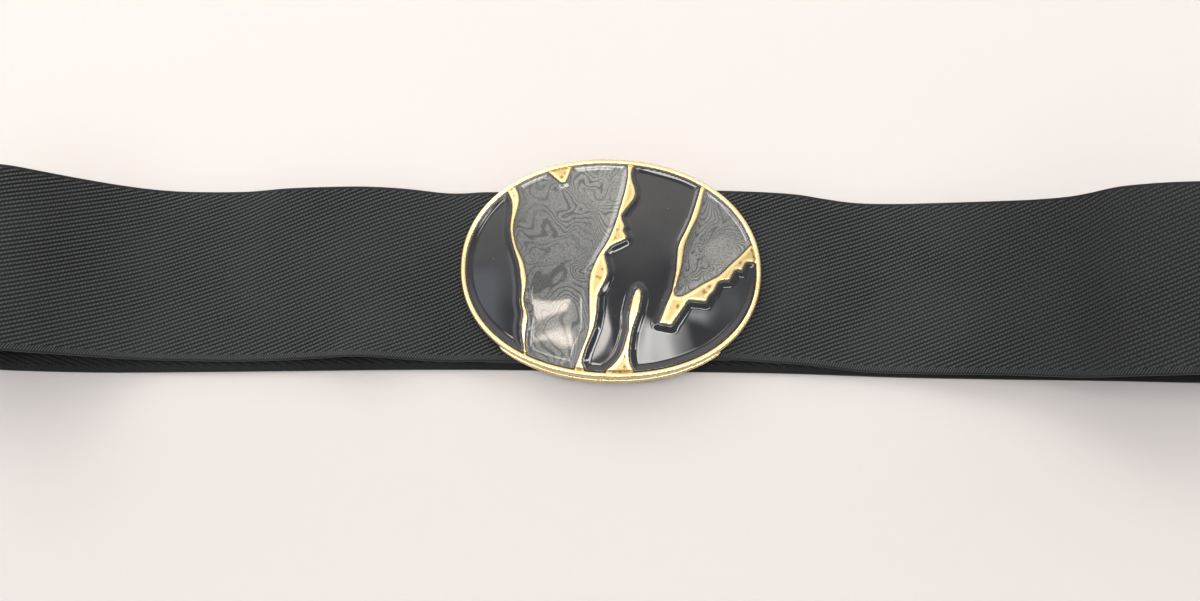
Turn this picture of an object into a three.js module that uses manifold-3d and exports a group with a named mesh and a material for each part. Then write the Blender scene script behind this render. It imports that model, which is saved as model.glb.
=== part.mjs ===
import * as THREE from "three";
import { mergeVertices } from "three/addons/utils/BufferGeometryUtils.js";
import Module from "manifold-3d";

const wasm = await Module();
wasm.setup();

// All lengths are in millimetres. +X runs along the belt, +Y across it, +Z up from the table.
const BAND_WIDTH = 50.8;
const BAND_THICKNESS = 1.6;
const HALF_LENGTH = 187;
const FOLD_LIFT = 34;

const BUCKLE_LENGTH = 86.8;
const BUCKLE_HEIGHT = BAND_WIDTH * 1.275;
const OVAL_POWER = 2.13;
const OVAL_TURN = THREE.MathUtils.degToRad(-0.9);
const GRID_ALONG = 1.01;
const GRID_ACROSS = 0.994;
const CROWN_RADIUS_ALONG = 190;
const CROWN_RADIUS_ACROSS = 225;
const RIDGE_TOP = 13.4;
const POCKET_FLOOR = 11.7;
const PLATE_UNDERSIDE = 10.3;
const ENAMEL_DROP = 0.45;
const ENAMEL_GAP = 0.22;

const RIM_SHARE_ALONG = 0.958;
const RIM_SHARE_ACROSS = 0.944;

const SKIRT_BASE = 5.8;
const SKIRT_WALL = 1.2;
const SKIRT_INSET = 0.5;
const SKIRT_HALF_RUN = 33;
const FLANGE_REACH = 0.5;
const FLANGE_HEIGHT = 1.3;

const WIRE_RADIUS = 1.25;
const BAR_OFFSET = 11.5;
const BAR_CENTRE = 5.1;
const WRAP_CLEARANCE = 0.3;
const WRAP_RADIUS = WIRE_RADIUS + WRAP_CLEARANCE + BAND_THICKNESS / 2;
const POST_WIDTH = 2.2;
const POST_THICKNESS = 3;
const RING_HOOK_BAR = 0;
const SIDE_CLEARANCE = 0.3;
const RING_HALF_SPAN = BAND_WIDTH / 2 + SIDE_CLEARANCE + WIRE_RADIUS;
const HOOK_HALF_WIDTH = 12;
const HOOK_POST_NEAR = 1.7;
const HOOK_POST_FAR = 3.3;
const HOOK_LIP_REACH = 2.4;
const HOOK_LIP_BASE = 2.1;
const HOOK_LIP_TOP = 3.5;
const SLAB_MARGIN = 4;
const CUT_HEIGHT = 20;
const CUT_MARGIN = 1;
const POST_SINK = 0.6;

const OVAL_STEPS = 96;
const CROWN_STEPS_ALONG = 18;
const CROWN_STEPS_ACROSS = 12;
const BAND_STEPS_ACROSS = 6;
const STATIONS_PER_ROW = 2;
const CURL_START = 0.3;
const ROUND_SIDES = 20;

// The raised ridges. Each row is one level of the face: level is a share of half the buckle's height,
// left and right are the two edges of the ridge as shares of half its length.
const RIDGE_LEFT = [
  { level: 1.1, left: -0.75, right: -0.64 },
  { level: 0.7, left: -0.699, right: -0.636 },
  { level: 0.6, left: -0.67, right: -0.612 },
  { level: 0.47, left: -0.665, right: -0.626 },
  { level: 0.34, left: -0.67, right: -0.643 },
  { level: 0.22, left: -0.657, right: -0.632 },
  { level: 0.085, left: -0.627, right: -0.592 },
  { level: -0.05, left: -0.598, right: -0.557 },
  { level: -0.2, left: -0.583, right: -0.546 },
  { level: -0.32, left: -0.583, right: -0.554 },
  { level: -0.48, left: -0.567, right: -0.527 },
  { level: -0.6, left: -0.575, right: -0.538 },
  { level: -0.76, left: -0.562, right: -0.535 },
  { level: -1.1, left: -0.59, right: -0.47 },
];
const RIDGE_MIDDLE = [
  { level: 1.1, left: 0.08, right: 0.19 },
  { level: 0.93, left: 0.097, right: 0.143 },
  { level: 0.86, left: 0.101, right: 0.128 },
  { level: 0.74, left: 0.089, right: 0.146 },
  { level: 0.656, left: 0.076, right: 0.156 },
  { level: 0.57, left: 0.06, right: 0.127 },
  { level: 0.45, left: 0.037, right: 0.067 },
  { level: 0.345, left: 0.013, right: 0.087 },
  { level: 0.247, left: -0.014, right: 0.1 },
  { level: 0.204, left: -0.029, right: 0.063 },
  { level: 0.153, left: -0.049, right: -0.007 },
  { level: 0.085, left: -0.08, right: -0.041 },
  { level: -0.01, left: -0.112, right: -0.025 },
  { level: -0.093, left: -0.135, right: -0.018 },
  { level: -0.23, left: -0.143, right: -0.063 },
  { level: -0.414, left: -0.14, right: -0.083 },
  { level: -0.566, left: -0.141, right: -0.1 },
  { level: -0.7, left: -0.169, right: -0.139 },
  { level: -0.873, left: -0.214, right: -0.17 },
  { level: -1.1, left: -0.27, right: -0.12 },
];
const RIDGE_SHORT = [
  { level: -0.214, left: 0.172, right: 0.186 },
  { level: -0.3, left: 0.139, right: 0.2 },
  { level: -0.42, left: 0.12, right: 0.184 },
  { level: -0.53, left: 0.113, right: 0.156 },
  { level: -0.64, left: 0.103, right: 0.136 },
  { level: -0.755, left: 0.08, right: 0.125 },
  { level: -0.86, left: 0.037, right: 0.13 },
  { level: -0.93, left: -0.02, right: 0.156 },
  { level: -1.1, left: -0.12, right: 0.22 },
];
const RIDGE_RIGHT = [
  { level: 1.1, left: 0.68, right: 0.68 },
  { level: 0.76, left: 0.585, right: 0.628 },
  { level: 0.6, left: 0.555, right: 0.595 },
  { level: 0.44, left: 0.517, right: 0.562 },
  { level: 0.27, left: 0.461, right: 0.504 },
  { level: 0.14, left: 0.428, right: 0.474 },
  { level: -0.05, left: 0.418, right: 0.453 },
  { level: -0.22, left: 0.398, right: 0.409 },
];

// The slanting ridge at the right. Each row is one step along the face: upper is its straight top edge and
// lower its torn bottom edge, both as shares of half the buckle's height.
const SLANT_UPPER = [
  { along: 0.43, upper: -0.271 },
  { along: 0.549, upper: -0.194 },
  { along: 0.645, upper: -0.113 },
  { along: 0.727, upper: -0.037 },
  { along: 0.83, upper: 0.106 },
  { along: 0.932, upper: 0.26 },
];
const SLANT_LOWER = [
  { along: 0.306, lower: -0.523 },
  { along: 0.395, lower: -0.54 },
  { along: 0.4565, lower: -0.407 },
  { along: 0.503, lower: -0.31 },
  { along: 0.616, lower: -0.319 },
  { along: 0.638, lower: -0.262 },
  { along: 0.67, lower: -0.22 },
  { along: 0.701, lower: -0.135 },
  { along: 0.769, lower: -0.112 },
  { along: 0.81, lower: -0.022 },
  { along: 0.862, lower: -0.014 },
  { along: 0.895, lower: 0.066 },
  { along: 0.99, lower: 0.075 },
];
const RIGHT_FOOT = [
  { level: -0.22, left: 0.398 },
  { level: -0.373, left: 0.35 },
  { level: -0.523, left: 0.306 },
];

// The pointed gold tab at the top of the grey centre cell.
const TOP_TAB = [
  { along: -0.48, level: 1.1 },
  { along: -0.441, level: 0.879 },
  { along: -0.344, level: 0.762 },
  { along: -0.304, level: 0.773 },
  { along: -0.277, level: 0.872 },
  { along: -0.25, level: 1.1 },
];

// The centre line of the front layer, from the left bar outwards, over the left fold to the table.
// along is a share of the half length, lift a share of the fold's height, shift a share of the band's width,
// slant how far the far edge stands above the near one and curl how far the near edge turns up, both as
// shares of the fold's height.
const LEFT_SIDE = [
  { along: -0.1, lift: 0.138, shift: -0.036, slant: 0, curl: 0 },
  { along: -0.193, lift: 0.137, shift: -0.036, slant: 0, curl: 0 },
  { along: -0.236, lift: 0.09, shift: -0.036, slant: 0, curl: 0 },
  { along: -0.27, lift: 0.086, shift: -0.034, slant: 0, curl: 0 },
  { along: -0.328, lift: 0.128, shift: -0.026, slant: 0.035, curl: 0.02 },
  { along: -0.388, lift: 0.148, shift: -0.027, slant: 0.08, curl: 0.1 },
  { along: -0.451, lift: 0.15, shift: -0.036, slant: 0.094, curl: 0.03 },
  { along: -0.513, lift: 0.142, shift: -0.047, slant: 0.09, curl: 0 },
  { along: -0.58, lift: 0.1, shift: -0.055, slant: 0.03, curl: 0 },
  { along: -0.66, lift: 0.09, shift: -0.056, slant: 0, curl: 0 },
  { along: -0.71, lift: 0.125, shift: -0.058, slant: 0, curl: 0 },
  { along: -0.76, lift: 0.24, shift: -0.062, slant: 0, curl: 0 },
  { along: -0.81, lift: 0.44, shift: -0.07, slant: 0, curl: 0 },
  { along: -0.85, lift: 0.66, shift: -0.082, slant: 0, curl: 0 },
  { along: -0.885, lift: 0.81, shift: -0.086, slant: 0, curl: 0 },
  { along: -0.925, lift: 0.87, shift: -0.092, slant: 0, curl: 0 },
  { along: -0.963, lift: 0.8, shift: -0.098, slant: 0, curl: 0 },
  { along: -0.987, lift: 0.64, shift: -0.104, slant: 0, curl: 0 },
  { along: -0.9957, lift: 0.43, shift: -0.11, slant: 0, curl: 0 },
  { along: -0.985, lift: 0.22, shift: -0.114, slant: 0, curl: 0 },
  { along: -0.957, lift: 0.08, shift: -0.117, slant: 0, curl: 0 },
];

// The back layer, flat on the table, from left to right.
const BACK_LAYER = [
  { along: -0.91, shift: -0.122 },
  { along: -0.78, shift: -0.124 },
  { along: -0.63, shift: -0.111 },
  { along: -0.476, shift: -0.095 },
  { along: -0.246, shift: -0.073 },
  { along: 0, shift: -0.067 },
  { along: 0.246, shift: -0.061 },
  { along: 0.45, shift: -0.073 },
  { along: 0.6, shift: -0.074 },
  { along: 0.76, shift: -0.072 },
  { along: 0.9, shift: -0.074 },
];

// The right fold and the front layer from it inwards to the right bar, same columns as the left side.
const RIGHT_SIDE = [
  { along: 0.948, lift: 0.07, shift: -0.074, slant: 0, curl: 0 },
  { along: 0.984, lift: 0.24, shift: -0.082, slant: 0.03, curl: 0 },
  { along: 0.9957, lift: 0.5, shift: -0.094, slant: 0.06, curl: 0 },
  { along: 0.984, lift: 0.76, shift: -0.106, slant: 0.09, curl: 0 },
  { along: 0.945, lift: 0.95, shift: -0.116, slant: 0.11, curl: 0 },
  { along: 0.89, lift: 1.01, shift: -0.122, slant: 0.12, curl: 0 },
  { along: 0.84, lift: 1.015, shift: -0.125, slant: 0.12, curl: 0 },
  { along: 0.79, lift: 0.99, shift: -0.128, slant: 0.12, curl: 0 },
  { along: 0.755, lift: 0.93, shift: -0.128, slant: 0.13, curl: 0 },
  { along: 0.728, lift: 0.81, shift: -0.12, slant: 0.155, curl: 0 },
  { along: 0.71, lift: 0.625, shift: -0.108, slant: 0.155, curl: 0 },
  { along: 0.69, lift: 0.475, shift: -0.096, slant: 0.13, curl: 0 },
  { along: 0.65, lift: 0.36, shift: -0.084, slant: 0.08, curl: 0 },
  { along: 0.595, lift: 0.27, shift: -0.073, slant: 0.04, curl: 0 },
  { along: 0.51, lift: 0.165, shift: -0.064, slant: 0.02, curl: 0 },
  { along: 0.45, lift: 0.1, shift: -0.058, slant: 0.01, curl: 0 },
  { along: 0.39, lift: 0.083, shift: -0.052, slant: 0, curl: 0 },
  { along: 0.34, lift: 0.092, shift: -0.034, slant: 0.01, curl: 0 },
  { along: 0.295, lift: 0.12, shift: -0.019, slant: 0.035, curl: 0 },
  { along: 0.25, lift: 0.115, shift: -0.009, slant: 0.05, curl: 0 },
  { along: 0.193, lift: 0.137, shift: -0.003, slant: 0, curl: 0 },
  { along: 0.1, lift: 0.138, shift: 0, slant: 0, curl: 0 },
];

const TURN_BACK_END = 0.185;
const LEFT_BAR_SHIFT = -0.036;
const RIGHT_BAR_SHIFT = 0;

function solid(geometry) {
  geometry.deleteAttribute("normal");
  geometry.deleteAttribute("uv");
  const merged = mergeVertices(geometry, 1e-4);
  const mesh = new wasm.Mesh({
    numProp: 3,
    vertProperties: merged.attributes.position.array,
    triVerts: merged.index.array,
  });
  return new wasm.Manifold(mesh);
}

function placed(geometry, x, y, z) {
  geometry.translate(x, y, z);
  return solid(geometry);
}

function box(xs, ys, zs) {
  const geometry = new THREE.BoxGeometry(xs[1] - xs[0], ys[1] - ys[0], zs[1] - zs[0]);
  return placed(geometry, (xs[0] + xs[1]) / 2, (ys[0] + ys[1]) / 2, (zs[0] + zs[1]) / 2);
}

function rod(x, z, halfLength) {
  return placed(new THREE.CylinderGeometry(WIRE_RADIUS, WIRE_RADIUS, halfLength * 2, ROUND_SIDES), x, 0, z);
}

function prism(points, low, high) {
  const shape = new THREE.Shape(points);
  return placed(new THREE.ExtrudeGeometry(shape, { depth: high - low, bevelEnabled: false }), 0, 0, low);
}

function fuller(share) {
  return Math.sign(share) * Math.abs(share) ** (2 / OVAL_POWER);
}

// The buckle's outline: an oval a little fuller than an ellipse and turned a little on the band.
function oval(halfAlong, halfAcross) {
  const points = [];
  const centre = new THREE.Vector2();
  for (let i = 0; i < OVAL_STEPS; i += 1) {
    const turn = (i / OVAL_STEPS) * Math.PI * 2;
    const point = new THREE.Vector2(halfAlong * fuller(Math.cos(turn)), halfAcross * fuller(Math.sin(turn)));
    points.push(point.rotateAround(centre, OVAL_TURN));
  }
  return points;
}

function crown(x, y) {
  return -(x * x) / (2 * CROWN_RADIUS_ALONG) - (y * y) / (2 * CROWN_RADIUS_ACROSS);
}

// A curved slab that follows the buckle's crown between two levels given at its middle.
function crownedSlab(low, high) {
  const geometry = new THREE.BoxGeometry(
    BUCKLE_LENGTH + SLAB_MARGIN,
    BUCKLE_HEIGHT + SLAB_MARGIN,
    high - low,
    CROWN_STEPS_ALONG,
    CROWN_STEPS_ACROSS,
    1,
  );
  const spots = geometry.attributes.position;
  for (let i = 0; i < spots.count; i += 1) {
    spots.setZ(i, spots.getZ(i) + (low + high) / 2 + crown(spots.getX(i), spots.getY(i)));
  }
  return solid(geometry);
}

function onFace(along, level) {
  const halfAlong = (GRID_ALONG * BUCKLE_LENGTH) / 2;
  const halfAcross = (GRID_ACROSS * BUCKLE_HEIGHT) / 2;
  return new THREE.Vector2(along * halfAlong, level * halfAcross);
}

function edge(rows, side) {
  return rows.map((row) => onFace(row[side], row.level));
}

// Moves every corner of an outline along its outward direction.
function grown(points, by) {
  const area = THREE.ShapeUtils.area(points);
  const sign = area > 0 ? 1 : -1;
  return points.map((point, i) => {
    const before = points[(i + points.length - 1) % points.length];
    const after = points[(i + 1) % points.length];
    const along = after.clone().sub(before).normalize();
    return new THREE.Vector2(point.x + along.y * by * sign, point.y - along.x * by * sign);
  });
}

const BOTTOM = 0;
const ABOVE = CUT_HEIGHT;

function ridgePrism(rows, by) {
  const outline = [...edge(rows, "left"), ...edge(rows, "right").reverse()];
  return prism(grown(outline, by), BOTTOM, ABOVE);
}

// Everything right of a ridge's left edge, or left of its right edge, as far as past the rim.
function beyond(rows, side, reach, by) {
  const points = edge(rows, side);
  const first = points[0];
  const last = points[points.length - 1];
  const far = (reach * BUCKLE_LENGTH) / 2;
  const outline = [...points, new THREE.Vector2(far, last.y), new THREE.Vector2(far, first.y)];
  return prism(grown(outline, by), BOTTOM, ABOVE);
}

// The gold at the right: the tall ridge, its foot and the slanting ridge, with the grey cell above it.
function rightGold(by) {
  const outline = [
    ...edge(RIDGE_RIGHT.slice(0, -1), "left"),
    ...RIGHT_FOOT.map((row) => onFace(row.left, row.level)),
    ...SLANT_LOWER.slice(1).map((row) => onFace(row.along, row.lower)),
    onFace(1.2, 0.1),
    onFace(1.2, 1.1),
  ];
  return prism(grown(outline, by), BOTTOM, ABOVE);
}

function greyRight(by) {
  const outline = [
    ...edge(RIDGE_RIGHT, "right").slice(0, -1),
    ...SLANT_UPPER.map((row) => onFace(row.along, row.upper)),
    onFace(1.2, 0.7),
    onFace(1.2, 1.1),
  ];
  return prism(grown(outline, by), BOTTOM, ABOVE);
}

function innerOval(by) {
  const halfAlong = (BUCKLE_LENGTH / 2) * RIM_SHARE_ALONG - by;
  const halfAcross = (BUCKLE_HEIGHT / 2) * RIM_SHARE_ACROSS - by;
  return prism(oval(halfAlong, halfAcross), BOTTOM, ABOVE);
}

function tab(by) {
  return prism(grown(TOP_TAB.map((row) => onFace(row.along, row.level)), by), BOTTOM, ABOVE);
}

// The four cells of the face; shrink narrows each one evenly for its fill.
function cells(shrink) {
  const inside = innerOval(shrink);
  const left = inside.subtract(beyond(RIDGE_LEFT, "left", 1.3, shrink));
  const centre = inside
    .subtract(beyond(RIDGE_LEFT, "right", -1.3, shrink))
    .subtract(beyond(RIDGE_MIDDLE, "left", 1.3, shrink))
    .subtract(tab(shrink));
  const black = inside
    .subtract(beyond(RIDGE_MIDDLE, "right", -1.3, shrink))
    .subtract(ridgePrism(RIDGE_SHORT, shrink))
    .subtract(rightGold(shrink));
  const right = inside.intersect(greyRight(-shrink));
  return { left, centre, black, right };
}

function castingSolid() {
  const half = [BUCKLE_LENGTH / 2, BUCKLE_HEIGHT / 2];
  const face = prism(oval(half[0], half[1]), BOTTOM, ABOVE);
  let body = face.intersect(crownedSlab(PLATE_UNDERSIDE, RIDGE_TOP));
  const pocketDepth = crownedSlab(POCKET_FLOOR, RIDGE_TOP + CUT_MARGIN);
  for (const cell of Object.values(cells(0))) {
    body = body.subtract(cell.intersect(pocketDepth));
  }

  const wallOval = oval(half[0] - SKIRT_INSET, half[1] - SKIRT_INSET);
  const wallOutside = prism(wallOval, SKIRT_BASE, ABOVE);
  const wallHole = oval(half[0] - SKIRT_INSET - SKIRT_WALL, half[1] - SKIRT_INSET - SKIRT_WALL);
  const flangeOval = oval(half[0] + FLANGE_REACH, half[1] + FLANGE_REACH);
  const flange = prism(flangeOval, SKIRT_BASE, SKIRT_BASE + FLANGE_HEIGHT);
  const below = crownedSlab(PLATE_UNDERSIDE - CUT_HEIGHT, (PLATE_UNDERSIDE + POCKET_FLOOR) / 2);
  const run = box([-SKIRT_HALF_RUN, SKIRT_HALF_RUN], [-BUCKLE_HEIGHT, BUCKLE_HEIGHT], [BOTTOM, ABOVE]);
  const wall = wallOutside.add(flange).subtract(prism(wallHole, BOTTOM, ABOVE));
  const skirt = wall.intersect(below).intersect(run);
  const edgeAtBar = half[1] * (1 - (BAR_OFFSET / half[0]) ** OVAL_POWER) ** (1 / OVAL_POWER);
  const barHalf = edgeAtBar - SKIRT_INSET - SKIRT_WALL;
  let hardware = rod(-BAR_OFFSET, BAR_CENTRE, barHalf);
  const postRun = [barHalf - POST_SINK, barHalf - POST_SINK + POST_WIDTH];
  for (const side of [-1, 1]) {
    const ends = side > 0 ? postRun : [-postRun[1], -postRun[0]];
    const sides = [-BAR_OFFSET - POST_THICKNESS / 2, -BAR_OFFSET + POST_THICKNESS / 2];
    hardware = hardware.add(box(sides, ends, [BAR_CENTRE - WIRE_RADIUS, POCKET_FLOOR]));
  }

  const hookSides = [-HOOK_HALF_WIDTH, HOOK_HALF_WIDTH];
  hardware = hardware.add(box([HOOK_POST_NEAR, HOOK_POST_FAR], hookSides, [HOOK_LIP_BASE, POCKET_FLOOR]));
  hardware = hardware.add(box([-HOOK_LIP_REACH, HOOK_POST_FAR], hookSides, [HOOK_LIP_BASE, HOOK_LIP_TOP]));
  const insideWall = prism(wallOval, BOTTOM, ABOVE);
  return body.add(skirt).add(hardware.intersect(below).intersect(insideWall));
}

function ringSolid() {
  const span = BAR_OFFSET - RING_HOOK_BAR;
  let ring = rod(BAR_OFFSET, BAR_CENTRE, RING_HALF_SPAN).add(rod(RING_HOOK_BAR, BAR_CENTRE, RING_HALF_SPAN));
  for (const side of [-1, 1]) {
    const arm = new THREE.CylinderGeometry(WIRE_RADIUS, WIRE_RADIUS, span, ROUND_SIDES);
    arm.rotateZ(Math.PI / 2);
    ring = ring.add(placed(arm, RING_HOOK_BAR + span / 2, side * (RING_HALF_SPAN), BAR_CENTRE));
    for (const x of [RING_HOOK_BAR, BAR_OFFSET]) {
      const corner = new THREE.SphereGeometry(WIRE_RADIUS, ROUND_SIDES, 12);
      ring = ring.add(placed(corner, x, side * (RING_HALF_SPAN), BAR_CENTRE));
    }
  }
  return ring;
}

function wrapRows(side, shift) {
  const rows = [];
  for (let i = 0; i <= 6; i += 1) {
    const turn = -Math.PI / 2 + (i / 6) * Math.PI;
    rows.push({
      x: side * (BAR_OFFSET - WRAP_RADIUS * Math.cos(turn)),
      z: BAR_CENTRE + WRAP_RADIUS * Math.sin(turn),
      shift: shift * BAND_WIDTH,
      slant: 0,
      curl: 0,
    });
  }
  return rows;
}

function sideRows(table) {
  return table.map((row) => ({
    x: row.along * HALF_LENGTH,
    z: row.lift * FOLD_LIFT,
    shift: row.shift * BAND_WIDTH,
    slant: row.slant * FOLD_LIFT,
    curl: row.curl * FOLD_LIFT,
  }));
}

function bandRows() {
  const endLift = (BAR_CENTRE - WRAP_RADIUS) / FOLD_LIFT;
  const ends = [
    { along: -TURN_BACK_END, lift: endLift, shift: LEFT_BAR_SHIFT, slant: 0, curl: 0 },
    { along: TURN_BACK_END, lift: endLift, shift: RIGHT_BAR_SHIFT, slant: 0, curl: 0 },
  ];
  const back = BACK_LAYER.map((row) => ({
    x: row.along * HALF_LENGTH,
    z: BAND_THICKNESS / 2,
    shift: row.shift * BAND_WIDTH,
    slant: 0,
    curl: 0,
  }));
  return [
    ...sideRows(ends.slice(0, 1)),
    ...wrapRows(-1, LEFT_BAR_SHIFT),
    ...sideRows(LEFT_SIDE),
    ...back,
    ...sideRows(RIGHT_SIDE),
    ...wrapRows(1, RIGHT_BAR_SHIFT).reverse(),
    ...sideRows(ends.slice(1)),
  ];
}

function steadyCurve(points) {
  return new THREE.CatmullRomCurve3(points, false, "catmullrom", 0.5);
}

// The strip itself: a long flat box bent along the rows, the same thickness all the way.
function bandGeometry() {
  const rows = bandRows();
  const path = steadyCurve(rows.map((row) => new THREE.Vector3(row.x, 0, row.z)));
  const sway = steadyCurve(rows.map((row) => new THREE.Vector3(row.shift, row.slant, row.curl)));
  const stations = (rows.length - 1) * STATIONS_PER_ROW;
  const geometry = new THREE.BoxGeometry(1, 2, BAND_THICKNESS, stations, BAND_STEPS_ACROSS, 1);
  const lowest = BAND_THICKNESS / 2;
  const spots = geometry.attributes.position;
  for (let i = 0; i < spots.count; i += 1) {
    const t = THREE.MathUtils.clamp(spots.getX(i) + 0.5, 0, 1);
    const across = spots.getY(i);
    const out = spots.getZ(i);
    const centre = path.getPoint(t);
    const onTable = centre.z <= lowest + 1e-4;
    const heading = onTable ? new THREE.Vector3(1, 0, 0) : path.getTangent(t);
    const extra = sway.getPoint(t);
    const nearTurn = Math.max(0, (-across - CURL_START) / (1 - CURL_START)) ** 2;
    const rise = (extra.y * across) / 2 + Math.max(0, extra.z) * nearTurn;
    const x = centre.x - heading.z * out;
    const z = Math.max(centre.z, lowest) + heading.x * out + rise;
    spots.setXYZ(i, x, extra.x + (across * BAND_WIDTH) / 2, Math.max(0, z));
  }
  geometry.deleteAttribute("normal");
  geometry.deleteAttribute("uv");
  const merged = mergeVertices(geometry, 1e-4);
  merged.computeVertexNormals();
  return merged;
}

const gold = new THREE.MeshStandardMaterial({ color: 0xdcb765, roughness: 0.26, metalness: 1 });
const plainWire = new THREE.MeshStandardMaterial({ color: 0xc9a65c, roughness: 0.34, metalness: 1 });
const blackFill = new THREE.MeshStandardMaterial({ color: 0x141518, roughness: 0.1, metalness: 0 });
const greyFill = new THREE.MeshStandardMaterial({ color: 0x666a6c, roughness: 0.2, metalness: 0 });
const elastic = new THREE.MeshStandardMaterial({ color: 0x1d1f20, roughness: 0.9, metalness: 0 });

function geometryOf(manifold) {
  const mesh = manifold.getMesh();
  const geometry = new THREE.BufferGeometry();
  geometry.setAttribute("position", new THREE.BufferAttribute(new Float32Array(mesh.vertProperties), 3));
  geometry.setIndex(new THREE.BufferAttribute(new Uint32Array(mesh.triVerts), 1));
  geometry.computeVertexNormals();
  return geometry;
}

const group = new THREE.Group();

function addNode(name, geometry, material) {
  const mesh = new THREE.Mesh(geometry, material);
  mesh.name = name;
  group.add(mesh);
}

const fills = cells(ENAMEL_GAP);
const fillDepth = crownedSlab(POCKET_FLOOR + ENAMEL_GAP, RIDGE_TOP - ENAMEL_DROP);

addNode("elastic_band", bandGeometry(), elastic);
addNode("buckle_casting", geometryOf(castingSolid()), gold);
addNode("enamel_black_left", geometryOf(fills.left.intersect(fillDepth)), blackFill);
addNode("enamel_grey_centre", geometryOf(fills.centre.intersect(fillDepth)), greyFill);
addNode("enamel_black_centre", geometryOf(fills.black.intersect(fillDepth)), blackFill);
addNode("enamel_grey_right", geometryOf(fills.right.intersect(fillDepth)), greyFill);
addNode("clasp_ring", geometryOf(ringSolid()), plainWire);

const extent = new THREE.Box3().setFromObject(group);
const middle = extent.getCenter(new THREE.Vector3());
for (const mesh of group.children) {
  mesh.geometry.translate(-middle.x, -middle.y, -extent.min.z);
}

export default group;
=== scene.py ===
import math

import bpy
import numpy as np
from mathutils import Matrix, Vector


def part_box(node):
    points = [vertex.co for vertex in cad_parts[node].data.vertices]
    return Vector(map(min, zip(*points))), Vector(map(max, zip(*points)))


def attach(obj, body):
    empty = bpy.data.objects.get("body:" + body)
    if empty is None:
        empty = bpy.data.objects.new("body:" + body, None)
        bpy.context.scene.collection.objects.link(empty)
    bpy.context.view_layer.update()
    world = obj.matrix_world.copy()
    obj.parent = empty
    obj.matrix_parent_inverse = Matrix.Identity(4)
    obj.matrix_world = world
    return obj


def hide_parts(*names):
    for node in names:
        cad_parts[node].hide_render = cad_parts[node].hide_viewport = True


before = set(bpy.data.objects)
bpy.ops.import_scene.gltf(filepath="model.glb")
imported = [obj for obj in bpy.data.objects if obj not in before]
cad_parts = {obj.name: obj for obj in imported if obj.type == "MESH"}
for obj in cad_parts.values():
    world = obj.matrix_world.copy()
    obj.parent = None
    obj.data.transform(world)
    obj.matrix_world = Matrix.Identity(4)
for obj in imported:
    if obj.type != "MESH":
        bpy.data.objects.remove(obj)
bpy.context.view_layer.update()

MM = 0.001

# Named sizes in millimetres, with the shares, the power and the turn that go with them
BAND_WIDTH = 50.8
BAND_THICKNESS = 1.6
HALF_LENGTH = 187.0
FOLD_LIFT = 34.0
BUCKLE_HALF_LENGTH = 43.4
BUCKLE_HALF_HEIGHT = BAND_WIDTH * 0.6375
OVAL_POWER = 2.13
OVAL_TURN = math.radians(-0.9)
GRID_ALONG = 1.01
GRID_ACROSS = 0.994
CROWN_ALONG = 190.0
CROWN_ACROSS = 225.0
RIDGE_TOP = 13.4
PLATE_UNDERSIDE = 10.3
RIM_SHARE_ALONG = 0.958
RIM_SHARE_ACROSS = 0.944
SKIRT_BASE = 5.8
SKIRT_WALL = 1.2
SKIRT_INSET = 0.5
SKIRT_HALF_RUN = 33.0
FLANGE_HEIGHT = 1.3
WIRE_RADIUS = 1.25
BAR_OFFSET = 11.5
BAR_CENTRE = 5.1
WRAP_CLEARANCE = 0.3
WRAP_RADIUS = WIRE_RADIUS + WRAP_CLEARANCE + BAND_THICKNESS / 2
SIDE_CLEARANCE = 0.3
RING_HALF_SPAN = BAND_WIDTH / 2 + SIDE_CLEARANCE + WIRE_RADIUS
RING_CORNER = 2.2
ROUND_SIDES = 20
POST_SINK = 0.6
POST_REACH = 0.95
POST_THICKNESS = 3.0
HOOK_HALF_WIDTH = 12.0
HOOK_POST_NEAR = 1.7
HOOK_POST_FAR = 3.3
HOOK_LIP_REACH = 2.4
HOOK_LIP_BASE = 2.1
HOOK_LIP_TOP = 3.5
HOOK_SINK = 0.4
BOX_CHAMFER = 0.25

# Tables
# Ridge edges: level, left, right, as shares of the buckle's half height and half length.
RIDGE_LEFT = [
    (1.1, -0.75, -0.64), (0.74, -0.712, -0.642), (0.68, -0.697, -0.622), (0.65, -0.687, -0.617),
    (0.6, -0.67, -0.611), (0.54, -0.663, -0.615), (0.47, -0.663, -0.626), (0.41, -0.667, -0.637),
    (0.34, -0.669, -0.643), (0.29, -0.666, -0.642), (0.22, -0.657, -0.632), (0.15, -0.643, -0.616),
    (0.085, -0.627, -0.592), (0.015, -0.609, -0.569), (-0.05, -0.598, -0.557), (-0.13, -0.59, -0.544),
    (-0.2, -0.583, -0.544), (-0.265, -0.582, -0.553), (-0.32, -0.583, -0.555), (-0.375, -0.577, -0.55),
    (-0.43, -0.566, -0.535), (-0.48, -0.567, -0.527), (-0.54, -0.575, -0.531), (-0.6, -0.575, -0.538),
    (-0.67, -0.567, -0.54), (-0.735, -0.556, -0.54), (-0.79, -0.556, -0.528), (-1.1, -0.59, -0.47),
]
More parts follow.
